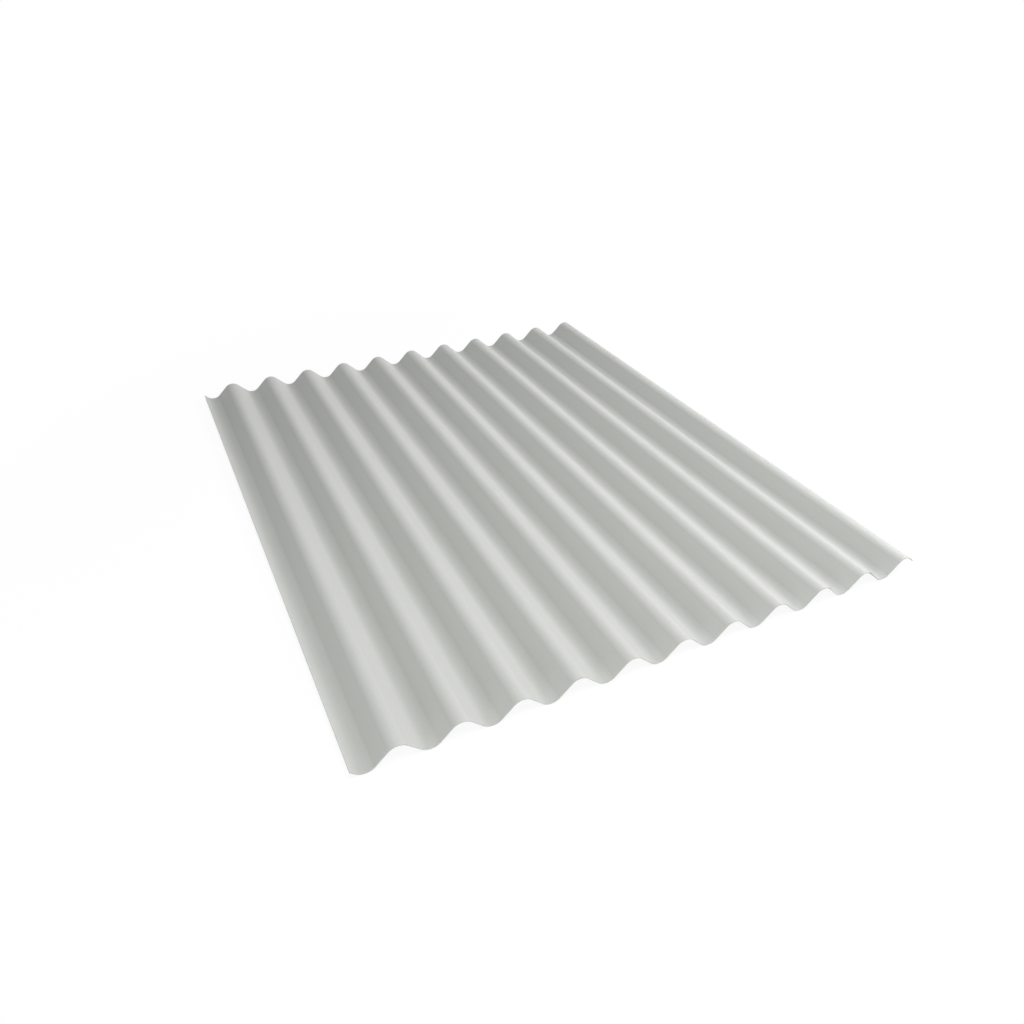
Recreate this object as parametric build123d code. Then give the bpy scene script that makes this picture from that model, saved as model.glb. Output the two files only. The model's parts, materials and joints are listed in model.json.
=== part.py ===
from build123d import *
import os
from math import asin, atan2, cos, hypot, sin, tan

# A corrugated metal sheet: one flat strip rolled into even waves, lying on its valleys.
# X runs across the waves, Y along them and Z up, from the middle of the floor under the sheet.
# The side edge at -X turns up out of a valley, and the side edge at +X turns down from a crest.

# The rolled section, in millimetres
corrugation_pitch = 67.7
overall_depth = 22.2
sheet_thickness = 0.8
bend_radius = 14.5
crest_count = 11

# The sheet as cut, in millimetres
sheet_length = 895.0
edge_lip = 15.2

# The mid-plane of the sheet, which the bend radius and the edge lips are measured on
half_pitch = corrugation_pitch / 2
half_thickness = sheet_thickness / 2
wave_rise = overall_depth - sheet_thickness
bend_count = 2 * crest_count

# A flank is flat: it touches a valley's bend from one side and the next crest's bend from the other.
bend_centre_drop = 2 * bend_radius - wave_rise
bend_centre_gap = hypot(half_pitch, bend_centre_drop)
flank_angle = asin(2 * bend_radius / bend_centre_gap) - atan2(bend_centre_drop, half_pitch)
flank_slope = tan(flank_angle)
corner_overshoot = bend_radius / cos(flank_angle) - bend_radius


def is_crest(bend):
    """Bends are counted from -X, and every second one is a crest."""
    return bend % 2 == 1


def sharp_corner(bend):
    """Where the mid-planes of the two flanks beside a bend would meet if it were not rounded."""
    x = (bend - (bend_count - 1) / 2) * half_pitch
    z = wave_rise + corner_overshoot if is_crest(bend) else -corner_overshoot
    return Vector(x, half_thickness + z)


def sheet_face_line(side):
    """One face of the sheet across all its waves: side is 1 for the top and -1 for the underside."""
    across = side * half_thickness * Vector(sin(flank_angle), cos(flank_angle))
    upward = Vector(0, side * half_thickness / cos(flank_angle))
    lip = Vector(-edge_lip, edge_lip * flank_slope)
    corners = [sharp_corner(bend) for bend in range(bend_count)]
    start = corners[0] + lip + across
    end = corners[-1] - lip + across
    radii = []
    for bend in range(bend_count):
        outward = side if is_crest(bend) else -side
        radii.append(bend_radius + outward * half_thickness)
    return FilletPolyline(start, *[corner + upward for corner in corners], end, radius=radii)


def corrugated_sheet():
    """The whole sheet: the section between its two faces, drawn out along the waves."""
    top = sheet_face_line(1)
    underside = sheet_face_line(-1)
    raised_edge = Line(underside @ 0, top @ 0)
    lowered_edge = Line(top @ 1, underside @ 1)
    section = make_face(top.edges() + lowered_edge.edges() + underside.edges() + raised_edge.edges())
    return extrude(Plane.XZ * section, amount=sheet_length / 2, both=True)


os.makedirs("parts", exist_ok=True)
export_step(corrugated_sheet(), "parts/corrugated_sheet.step")
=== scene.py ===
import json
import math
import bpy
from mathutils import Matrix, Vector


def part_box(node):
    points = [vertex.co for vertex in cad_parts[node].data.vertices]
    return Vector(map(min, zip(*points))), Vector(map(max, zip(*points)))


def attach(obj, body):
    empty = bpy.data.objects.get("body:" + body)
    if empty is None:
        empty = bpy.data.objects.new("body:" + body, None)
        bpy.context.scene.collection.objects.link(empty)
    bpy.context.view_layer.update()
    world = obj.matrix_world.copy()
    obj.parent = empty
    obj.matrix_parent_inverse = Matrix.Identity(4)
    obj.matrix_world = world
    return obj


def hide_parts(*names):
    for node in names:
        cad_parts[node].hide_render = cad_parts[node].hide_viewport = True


bl_info = {
    "name": "Corrugated Sheet",
    "version": (1, 0, 0),
    "blender": (4, 5, 0),
    "location": "View3D > Sidebar > Corrugated Sheet",
    "description": "A painted corrugated metal sheet lying on a pale studio floor",
    "category": "Add Mesh",
}

import bpy
import numpy as np
from bpy.props import FloatProperty, FloatVectorProperty, IntProperty, PointerProperty
from mathutils import Vector

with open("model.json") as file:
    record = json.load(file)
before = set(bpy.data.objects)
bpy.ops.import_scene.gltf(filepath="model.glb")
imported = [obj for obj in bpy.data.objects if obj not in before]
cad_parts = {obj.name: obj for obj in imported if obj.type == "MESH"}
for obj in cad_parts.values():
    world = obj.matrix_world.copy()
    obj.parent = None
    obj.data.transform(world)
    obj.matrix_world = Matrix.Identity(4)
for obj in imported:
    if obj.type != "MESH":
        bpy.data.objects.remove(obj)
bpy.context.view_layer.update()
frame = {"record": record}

NODE = "corrugated_sheet"
BODY = "root"
PIECE = "rolled_sheet"
SHEET_LOW, SHEET_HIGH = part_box(NODE)
SHEET_SIZE = SHEET_HIGH - SHEET_LOW

# The finishes, in the order in which the sheet's mesh carries them
TOP_PAINT, BACKING_COAT, CUT_METAL = range(3)

# How many grains, patches or marks a metre each finish has along X, Y and Z
PAINT_GRAIN = (800.0, 800.0, 800.0)
PAINT_MOTTLE = (14.0, 9.0, 14.0)
PAINT_STREAKS = (420.0, 3.0, 420.0)
ORANGE_PEEL = (420.0, 420.0, 420.0)
BACKING_GRAIN = (700.0, 700.0, 700.0)
BACKING_MOTTLE = (22.0, 6.0, 22.0)
BACKING_STREAKS = (300.0, 2.0, 300.0)
SHEAR_MARKS = (2200.0, 2200.0, 160.0)
METAL_DULLING = (90.0, 90.0, 90.0)

# The darkest and the lightest tone of each finish, as shares of its colour
PAINT_TONES = (0.96, 1.04)
BACKING_TONES = (0.93, 1.07)
METAL_TONES = (0.88, 1.08)
MIDDLE_TONE = 0.5

# How high the relief of the coats is, and how far the roller's line with its painted shade reaches to
# either side, in metres
ORANGE_PEEL_HEIGHT = 0.000012
BACKING_GRAIN_HEIGHT = 0.00001
ROLLER_MARK_AND_SHADE_REACH = 0.0016

COAT_IOR = 1.5
BACKING_ROUGHNESS = 0.34
METAL_ROUGHNESS = 0.46
METAL_SHARE = 0.5
NOISE_ROUGHNESS = 0.55

# The softboxes: name, place in metres, power in watts and whether the side tint is on it
WHITE = (1.0, 1.0, 1.0)
SOFTBOX_WIDTH = 1.0
SOFTBOXES = (
    ("overhead_softbox", (0.0, -0.8, 1.8), 30.5, False),
    ("side_softbox", (1.5, 0.0, 1.2), 17.7, True),
    ("outer_side_softbox", (2.2, 0.0, 1.2), 22.8, True),
    ("front_fill", (-1.5, -1.6, 0.6), 14.6, False),
)
FLOOR_REACH = 24.0

# The camera's place and sight in metres, its tilt below level and its turn from +Y in radians
CAMERA_PLACE = (-0.44719, -0.95931, 0.64809)
CAMERA_TILT = 0.60011
CAMERA_TURN = -0.45164
CAMERA_SIGHT = 200.0
SENSOR_WIDTH_MM = 36.0

# The two colours of a Mix node, which shares their names with its other inputs
MIX_COLOUR_A, MIX_COLOUR_B = 6, 7


def opening_middles(kind):
    """How far along X the middle of each of the record's openings of one kind is."""
    openings = frame["record"]["physics"]["openings"]
    boxes = [opening["box_m"] for opening in openings if opening["name"].startswith(kind)]
    return sorted((low[0] + high[0]) / 2 for low, high in boxes)


def mount_height(name):
    """How far above the floor one of the record's mounts is."""
    return next(mount["pos_m"][2] for mount in frame["record"]["mounts"] if mount["name"] == name)


# The two end mounts are at the middle of the cut metal where a valley lies on the floor.
THICKNESS = 2 * mount_height("near_end")
VALLEYS = opening_middles("valley_")
PITCH = (VALLEYS[-1] - VALLEYS[0]) / (len(VALLEYS) - 1)


def length_property(name, description, default):
    """A size in metres."""
    return FloatProperty(
        name=name, description=description, default=default, min=0.0, precision=5, unit="LENGTH"
    )


def colour_property(name, description, default):
    """A colour of a surface or a lamp."""
    return FloatVectorProperty(
        name=name, description=description, default=default, min=0.0, max=1.0, subtype="COLOR"
    )


def share_property(name, description, default):
    """A number from 0 to 1."""
    return FloatProperty(
        name=name, description=description, default=default, min=0.0, max=1.0, subtype="FACTOR"
    )


class SheetShape(bpy.types.PropertyGroup):
    """The rolled section, the cut size and how finely the mesh follows them."""

    crests: IntProperty(
        name="Crests", description="Crests across the sheet, with as many valleys",
        default=len(VALLEYS), min=1,
    )
    pitch: length_property("Pitch", "From one crest to the next", PITCH)
    depth: length_property("Depth", "From the floor to the top of the crests", SHEET_SIZE.z)
    width: length_property("Width", "Across the waves, from edge to edge", SHEET_SIZE.x)
    length: length_property("Length", "Along the waves, from end to end", SHEET_SIZE.y)
    thickness: length_property("Thickness", "Thickness of the metal", THICKNESS)
    bend_radius: length_property("Bend radius", "Radius of every bend, at the mid-plane", 0.0145)
    edge_break: length_property("Edge break", "How far the sheared edges are broken", 0.0001)
    bend_steps: IntProperty(name="Bend steps", description="Facets round one bend", default=16, min=4)
    flank_steps: IntProperty(name="Flank steps", description="Facets down one flank", default=3, min=1)
    length_steps: IntProperty(name="Length steps", description="Facets along a wave", default=18, min=1)


class SheetFinish(bpy.types.PropertyGroup):
    """The colours of the painted face, the backing coat and the sheared metal."""

    paint: colour_property("Paint", "Pale grey-green satin paint of the top face", (0.43, 0.44, 0.42))
    backing: colour_property("Backing", "Thin coat on the underside", (0.52, 0.525, 0.51))
    metal: colour_property("Cut metal", "Bare metal where the sheet was sheared", (0.45, 0.455, 0.45))
    gloss_roughness: share_property("Paint roughness", "How satin the painted face is", 0.55)


class StudioLook(bpy.types.PropertyGroup):
    """The pale floor, the soft lights and the camera."""

    floor: colour_property("Floor", "Pale floor", (0.9, 0.9, 0.9))
    floor_shadow: share_property("Floor shadow", "How much of a shadow the floor shows", 0.08)
    shadow_reach: length_property("Shadow reach", "How far round the sheet the floor shows shadow", 0.9)
    dome_level: share_property("Dome", "Level of the soft light all round", 0.1)
    side_tint: colour_property("Side tint", "Colour of the two softboxes at the right", (1.0, 0.972, 1.0))
    lens: FloatProperty(
        name="Lens", description="Focal length", default=28.414, min=1.0, unit="CAMERA"
    )


class Wire:
    """One output of a shader node. Expressions of wires and numbers add Math nodes to its tree."""

    def __init__(self, bench, socket):
        self.bench = bench
        self.socket = socket

    def math(self, operation, first, second=0.0):
        return self.bench.add("ShaderNodeMath", {"operation": operation}, {0: first, 1: second})["Value"]

    def __add__(self, other):
        return self.math("ADD", self, other)

    def __radd__(self, other):
        return self.math("ADD", other, self)

    def __sub__(self, other):
        return self.math("SUBTRACT", self, other)

    def __rsub__(self, other):
        return self.math("SUBTRACT", other, self)

    def __mul__(self, other):
        return self.math("MULTIPLY", self, other)

    def __rmul__(self, other):
        return self.math("MULTIPLY", other, self)

    def __mod__(self, other):
        return self.math("FLOORED_MODULO", self, other)

    def __rmod__(self, other):
        return self.math("FLOORED_MODULO", other, self)

    def __or__(self, other):
        return self.math("MAXIMUM", self, other)

    def __ror__(self, other):
        return self.math("MAXIMUM", other, self)

    def __abs__(self):
        return self.math("ABSOLUTE", self)


class Bench:
    """Adds shader nodes to the tree of one material or of the world."""

    def __init__(self, owner):
        owner.use_nodes = True
        self.tree = owner.node_tree
        self.tree.nodes.clear()

    def add(self, kind, settings=None, sockets=None):
        """A node of one type. Its settings are set first, then its sockets' values or links."""
        node = self.tree.nodes.new(kind)
        for name, value in (settings or {}).items():
            setattr(node, name, value)
        for name, value in (sockets or {}).items():
            if isinstance(value, Wire):
                self.tree.links.new(value.socket, node.inputs[name])
            else:
                node.inputs[name].default_value = value
        return {output.name: Wire(self, output) for output in node.outputs if output.enabled}


def new_bench(name):
    """A fresh material, the bench that its nodes are added on and the place on its surface."""
    material = bpy.data.materials.new(name)
    bench = Bench(material)
    return material, bench, bench.add("ShaderNodeTexCoord")["Object"]


def opaque(colour, level=1.0):
    """A colour for a socket, made lighter or darker by a level."""
    return (*(channel * level for channel in colour), 1.0)


def toned(bench, colour, tones, tone):
    """A colour between its darkest and its lightest tone, as the tone goes from 0 to 1."""
    darkest, lightest = (opaque(colour, level) for level in tones)
    return bench.add(
        "ShaderNodeMix", {"data_type": "RGBA"},
        {"Factor": tone, MIX_COLOUR_A: darkest, MIX_COLOUR_B: lightest},
    )["Result"]


def noise(bench, where, stretch, detail=2.0):
    """Noise about zero, with as many grains a metre along X, Y and Z as the stretch says."""
    scaled = bench.add("ShaderNodeVectorMath", {"operation": "MULTIPLY"}, {0: where, 1: stretch})["Vector"]
    value = bench.add(
        "ShaderNodeTexNoise", {"noise_dimensions": "3D"},
        {"Vector": scaled, "Scale": 1.0, "Detail": detail, "Roughness": NOISE_ROUGHNESS},
    )["Fac"]
    return value - 0.5


def fade(bench, value, start, end, level=1.0):
    """A level up to the start, which fades smoothly to nothing at the end."""
    return bench.add(
        "ShaderNodeMapRange", {"interpolation_type": "SMOOTHSTEP"},
        {"Value": value, "From Min": start, "From Max": end, "To Min": level, "To Max": 0.0},
    )["Result"]


def relief(bench, height, distance):
    """The surface's normal with a fine relief on it."""
    sockets = {"Strength": 1.0, "Distance": distance, "Height": height}
    return bench.add("ShaderNodeBump", None, sockets)["Normal"]


def set_surface(bench, sockets):
    """The shader of a finish, wired to its material's output."""
    shader = bench.add("ShaderNodeBsdfPrincipled", None, sockets)["BSDF"]
    bench.add("ShaderNodeOutputMaterial", None, {"Surface": shader})


def seen_rays(bench):
    """1 to the camera and in what shines or is clear, and 0 for the light that falls on things."""
    rays = bench.add("ShaderNodeLightPath")
    return rays["Is Camera Ray"] | rays["Is Glossy Ray"] | rays["Is Transmission Ray"]


def bend_spacing(shape):
    """How far apart the centres of neighbouring bends are, across and down from a valley's to a crest's."""
    return shape.pitch / 2, 2 * shape.bend_radius - (shape.depth - shape.thickness)


def flank_angle(shape):
    """The slope of the flat flanks, which touch a valley's bend and the next crest's bend."""
    half_pitch, drop = bend_spacing(shape)
    gap = math.hypot(half_pitch, drop)
    return math.asin(2 * shape.bend_radius / gap) - math.atan2(drop, half_pitch)


def top_paint(shape, finish):
    """Satin coil-coated paint: orange peel, a fine grain, long faint streaks, and at each bend's end a
    roller's line that also carries painted shade.
    """
    material, bench, where = new_bench("satin_paint")
    across = bench.add("ShaderNodeSeparateXYZ", None, {"Vector": where})["X"]
    grain = noise(bench, where, PAINT_GRAIN, detail=1.0)
    mottle = noise(bench, where, PAINT_MOTTLE, detail=3.0)
    streaks = noise(bench, where, PAINT_STREAKS)
    # A faint darker line is painted where each bend runs out into a flank. It is painted shade that stands
    # in for the shading kink there, and its rougher gloss stands for a roller's mark.
    half_pitch = shape.pitch / 2
    line_place = shape.bend_radius * math.sin(flank_angle(shape))
    from_bend = abs(across % half_pitch - half_pitch / 2)
    roller_mark_and_painted_shade = fade(bench, abs(from_bend - line_place), 0.0, ROLLER_MARK_AND_SHADE_REACH)
    # The roller line's darkening of the paint's tone is painted shade.
    tone = MIDDLE_TONE + grain * 1.6 + mottle * 0.5 + streaks * 0.35 - roller_mark_and_painted_shade * 0.25
    peel = noise(bench, where, ORANGE_PEEL)
    set_surface(bench, {
        "Base Color": toned(bench, finish.paint, PAINT_TONES, tone),
        "Roughness": finish.gloss_roughness + mottle * 0.10 + streaks * 0.05 + roller_mark_and_painted_shade * 0.04,
        "Normal": relief(bench, peel, ORANGE_PEEL_HEIGHT),
        "IOR": COAT_IOR,
    })
    return material


def backing_coat(finish):
    """The thin, shinier coat that the underside gets, with streaks along the sheet."""
    material, bench, where = new_bench("backing_coat")
    grain = noise(bench, where, BACKING_GRAIN, detail=1.0)
    mottle = noise(bench, where, BACKING_MOTTLE, detail=3.0)
    streaks = noise(bench, where, BACKING_STREAKS)
    tone = MIDDLE_TONE + grain + mottle * 0.9 + streaks * 0.8
    set_surface(bench, {
        "Base Color": toned(bench, finish.backing, BACKING_TONES, tone),
        "Roughness": BACKING_ROUGHNESS + mottle * 0.12,
        "Normal": relief(bench, grain, BACKING_GRAIN_HEIGHT),
        "IOR": COAT_IOR,
    })
    return material


def cut_metal(finish):
    """Bare sheared metal: fine shear marks across the thickness and dull patches."""
    material, bench, where = new_bench("cut_metal")
    marks = noise(bench, where, SHEAR_MARKS)
    dulling = noise(bench, where, METAL_DULLING)
    tone = MIDDLE_TONE + marks * 0.8 + dulling * 0.6
    set_surface(bench, {
        "Base Color": toned(bench, finish.metal, METAL_TONES, tone),
        "Roughness": METAL_ROUGHNESS + dulling * 0.2 + marks * 0.1,
        "Metallic": METAL_SHARE,
    })
    return material


def section_line(shape):
    """The mid-plane of the sheet across its waves, as points (x, z) with the slope at each."""
    angle = flank_angle(shape)
    radius = shape.bend_radius
    half_thickness = shape.thickness / 2
    half_pitch, drop = bend_spacing(shape)
    bends = 2 * shape.crests
    flank_length = math.sqrt(half_pitch**2 + drop**2 - (2 * radius) ** 2)
    points, slopes = [], []
    for bend in range(bends):
        # A valley bends about a line above it, and a crest about one below it.
        side = 1 if bend % 2 == 0 else -1
        centre_x = (bend - (bends - 1) / 2) * half_pitch
        centre_z = half_thickness + radius if side == 1 else shape.depth - half_thickness - radius
        centre_z += SHEET_LOW.z
        for step in range(shape.bend_steps + 1):
            slope = side * angle * (2 * step / shape.bend_steps - 1)
            x = centre_x + side * radius * math.sin(slope)
            z = centre_z - side * radius * math.cos(slope)
            points.append((x, z))
            slopes.append(slope)
        if bend < bends - 1:
            start_x, start_z = points[-1]
            for step in range(1, shape.flank_steps):
                run = flank_length * step / shape.flank_steps
                points.append((start_x + run * math.cos(angle), start_z + side * run * math.sin(angle)))
                slopes.append(side * angle)
    # Both side edges are straight lips, and each ends in a strip as narrow as the broken edge.
    edge_x = shape.width / 2 - half_thickness * math.sin(angle)
    lip_run = (edge_x + points[0][0]) / math.cos(angle)
    first, last = points[0], points[-1]
    for run in (lip_run / 2, lip_run - shape.edge_break, lip_run):
        reach, climb = run * math.cos(angle), run * math.sin(angle)
        points.insert(0, (first[0] - reach, first[1] + climb))
        points.append((last[0] + reach, last[1] - climb))
        slopes.insert(0, -angle)
        slopes.append(-angle)
    return np.array(points), np.array(slopes)


def sheet_grid(shape):
    """The points of the top and of the underside, in rows along the waves, and each row's normal."""
    points, slopes = section_line(shape)
    half_length = shape.length / 2
    broken = half_length - shape.edge_break
    stations = np.concatenate(
        ([-half_length], np.linspace(-broken, broken, shape.length_steps + 1), [half_length])
    )
    rows, columns = len(points), len(stations)
    normals = np.stack((-np.sin(slopes), np.zeros(rows), np.cos(slopes)), axis=1)
    # The sheet is thinner at its outermost points all round, which breaks the sheared edges.
    half = np.full((rows, columns), shape.thickness / 2)
    half[[0, -1], :] -= shape.edge_break
    half[:, [0, -1]] -= shape.edge_break
    middle = np.zeros((rows, columns, 3))
    middle[:, :, 0] = points[:, 0, None]
    middle[:, :, 1] = stations[None, :]
    middle[:, :, 2] = points[:, 1, None]
    offset = normals[:, None, :] * half[:, :, None]
    return np.stack((middle + offset, middle - offset)), normals


def sheet_faces(rows, columns):
    """The corners of every face, its finish and, where it is smooth, each corner's row and side."""

    def top(row, column):
        return row * columns + column

    def under(row, column):
        return (rows + row) * columns + column

    def sheared(start, end):
        return [under(*start), under(*end), top(*end), top(*start)]

    faces, finishes, smooth_rows = [], [], []
    for row in range(rows - 1):
        for column in range(columns - 1):
            ring = row in (0, rows - 2) or column in (0, columns - 2)
            corners = ((row, column), (row + 1, column), (row + 1, column + 1), (row, column + 1))
            faces.append([top(*corner) for corner in corners])
            faces.append([under(*corner) for corner in reversed(corners)])
            finishes += [CUT_METAL, CUT_METAL] if ring else [TOP_PAINT, BACKING_COAT]
            smooth_rows.append(None if ring else [(corner[0], 1) for corner in corners])
            smooth_rows.append(None if ring else [(corner[0], -1) for corner in reversed(corners)])
    for row in range(rows - 1):
        faces.append(sheared((row, 0), (row + 1, 0)))
        faces.append(sheared((row + 1, columns - 1), (row, columns - 1)))
    for column in range(columns - 1):
        faces.append(sheared((0, column + 1), (0, column)))
        faces.append(sheared((rows - 1, column), (rows - 1, column + 1)))
    sheared_faces = len(faces) - len(finishes)
    finishes += [CUT_METAL] * sheared_faces
    smooth_rows += [None] * sheared_faces
    return faces, finishes, smooth_rows


def sheet_mesh(shape):
    """The sheet as one closed mesh: a painted top, a coated underside and a sheared edge all round."""
    grid, normals = sheet_grid(shape)
    rows, columns = grid.shape[1:3]
    faces, finishes, smooth_rows = sheet_faces(rows, columns)
    mesh = bpy.data.meshes.new(PIECE)
    mesh.from_pydata(grid.reshape(-1, 3).tolist(), [], faces)
    mesh.validate()
    mesh.polygons.foreach_set("material_index", finishes)
    mesh.shade_smooth()
    corner_normals = []
    for polygon, smooth in zip(mesh.polygons, smooth_rows):
        if smooth is None:
            corner_normals += [tuple(polygon.normal)] * polygon.loop_total
        else:
            corner_normals += [tuple(side * normals[row]) for row, side in smooth]
    mesh.normals_split_custom_set(corner_normals)
    return mesh


class SHEET_OT_roll(bpy.types.Operator):
    """Make the painted corrugated sheet in the place of the CAD solid"""

    bl_idname = "corrugated.roll_sheet"
    bl_label = "Roll the Sheet"

    def execute(self, context):
        shape, finish = context.scene.sheet_shape, context.scene.sheet_finish
        mesh = sheet_mesh(shape)
        for material in (top_paint(shape, finish), backing_coat(finish), cut_metal(finish)):
            mesh.materials.append(material)
        sheet = bpy.data.objects.new(PIECE, mesh)
        context.scene.collection.objects.link(sheet)
        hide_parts(NODE)
        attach(sheet, BODY)
        return {"FINISHED"}


def floor_material(look):
    """White where it is seen, with a share of real shading near the sheet so that it keeps the shadow."""
    material, bench, where = new_bench("pale_floor")
    away = bench.add("ShaderNodeVectorMath", {"operation": "LENGTH"}, {0: where})["Value"]
    shaded = fade(bench, away, look.shadow_reach / 2, look.shadow_reach, look.floor_shadow)
    whiteness = seen_rays(bench) * (1.0 - shaded)
    matte = bench.add("ShaderNodeBsdfDiffuse", None, {"Color": opaque(look.floor)})["BSDF"]
    white = bench.add("ShaderNodeEmission", None, {"Color": opaque(WHITE), "Strength": 1.0})["Emission"]
    shader = bench.add("ShaderNodeMixShader", None, {0: whiteness, 1: matte, 2: white})["Shader"]
    bench.add("ShaderNodeOutputMaterial", None, {"Surface": shader})
    return material


def make_floor(scene, look):
    """A wide pale floor under the sheet, which fills the photograph's view."""
    near, far = -FLOOR_REACH, FLOOR_REACH
    corners = [(near, near, 0.0), (far, near, 0.0), (far, far, 0.0), (near, far, 0.0)]
    mesh = bpy.data.meshes.new("floor")
    mesh.from_pydata(corners, [], [(0, 1, 2, 3)])
    mesh.materials.append(floor_material(look))
    floor = bpy.data.objects.new("floor", mesh)
    scene.collection.objects.link(floor)


def make_dome(scene, look):
    """The world: white where it is seen, and a low soft light all round."""
    world = bpy.data.worlds.new("soft_dome")
    scene.world = world
    bench = Bench(world)
    level = seen_rays(bench) * (1.0 - look.dome_level) + look.dome_level
    background = bench.add(
        "ShaderNodeBackground", None, {"Color": opaque(WHITE), "Strength": level}
    )["Background"]
    bench.add("ShaderNodeOutputWorld", None, {"Surface": background})


def make_softbox(scene, name, place, power, tint):
    """A round softbox that faces the sheet."""
    lamp = bpy.data.lights.new(name, "AREA")
    lamp.shape = "DISK"
    lamp.size = SOFTBOX_WIDTH
    lamp.energy = power
    lamp.color = tint
    softbox = bpy.data.objects.new(name, lamp)
    softbox.location = place
    softbox.rotation_euler = (-Vector(place)).to_track_quat("-Z", "Y").to_euler()
    softbox.visible_camera = False
    scene.collection.objects.link(softbox)


def make_camera(scene, look):
    """The camera at the photograph's place."""
    lens = bpy.data.cameras.new("photo_camera")
    lens.lens = look.lens
    lens.sensor_width = SENSOR_WIDTH_MM
    lens.clip_end = CAMERA_SIGHT
    camera = bpy.data.objects.new("photo_camera", lens)
    camera.location = CAMERA_PLACE
    camera.rotation_euler = (math.pi / 2 - CAMERA_TILT, 0.0, CAMERA_TURN)
    scene.collection.objects.link(camera)
    scene.camera = camera


class SHEET_OT_stage(bpy.types.Operator):
    """Set the floor, the soft lights and the camera round the sheet"""

    bl_idname = "corrugated.set_stage"
    bl_label = "Set the Stage"

    def execute(self, context):
        scene, look = context.scene, context.scene.studio_look
        scene.view_settings.view_transform = "Standard"
        make_floor(scene, look)
        make_dome(scene, look)
        for name, place, power, tinted in SOFTBOXES:
            make_softbox(scene, name, place, power, look.side_tint if tinted else WHITE)
        make_camera(scene, look)
        return {"FINISHED"}


class SHEET_PT_panel(bpy.types.Panel):
    """The sheet's sizes, its finish and the studio"""

    bl_idname = "SHEET_PT_panel"
    bl_label = "Corrugated Sheet"
    bl_space_type = "VIEW_3D"
    bl_region_type = "UI"
    bl_category = "Corrugated Sheet"

    def draw(self, context):
        scene = context.scene
        for group in (scene.sheet_shape, scene.sheet_finish, scene.studio_look):
            box = self.layout.box()
            for name in group.bl_rna.properties.keys():
                if name not in ("rna_type", "name"):
                    box.prop(group, name)
        self.layout.operator(SHEET_OT_roll.bl_idname)
        self.layout.operator(SHEET_OT_stage.bl_idname)


CLASSES = (SheetShape, SheetFinish, StudioLook, SHEET_OT_roll, SHEET_OT_stage, SHEET_PT_panel)


def register():
    for cls in CLASSES:
        bpy.utils.register_class(cls)
    bpy.types.Scene.sheet_shape = PointerProperty(type=SheetShape)
    bpy.types.Scene.sheet_finish = PointerProperty(type=SheetFinish)
    bpy.types.Scene.studio_look = PointerProperty(type=StudioLook)


def unregister():
    del bpy.types.Scene.studio_look
    del bpy.types.Scene.sheet_finish
    del bpy.types.Scene.sheet_shape
    for cls in reversed(CLASSES):
        bpy.utils.unregister_class(cls)


def main():
    """Registers the classes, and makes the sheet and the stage."""
    register()
    bpy.ops.corrugated.roll_sheet()
    bpy.ops.corrugated.set_stage()


if __name__ == "__main__":
    main()
